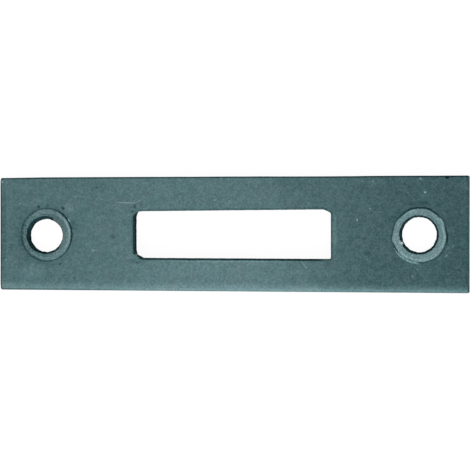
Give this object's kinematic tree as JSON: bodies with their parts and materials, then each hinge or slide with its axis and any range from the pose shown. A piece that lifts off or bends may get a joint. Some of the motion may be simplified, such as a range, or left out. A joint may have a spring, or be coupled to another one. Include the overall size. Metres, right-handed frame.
{
  "type": "door strike plate",
  "caption": "Flat steel door strike plate with a long rectangular bolt slot and a countersunk screw hole near each end.",
  "frame": {"origin": "middle of the back face, the face that lies against the door frame", "axes": "+X along the plate's length, +Y across it, +Z out of the front face, the countersunk side"},
  "size_m": [0.092, 0.022, 0.003],
  "materials": {
    "steel": "dull, bare or zinc-coated rolled steel with a fine grain, brighter where the countersinks are cut"
  },
  "bodies": {
    "root": {"strike_plate": "steel"}
  },
  "joints": []
}
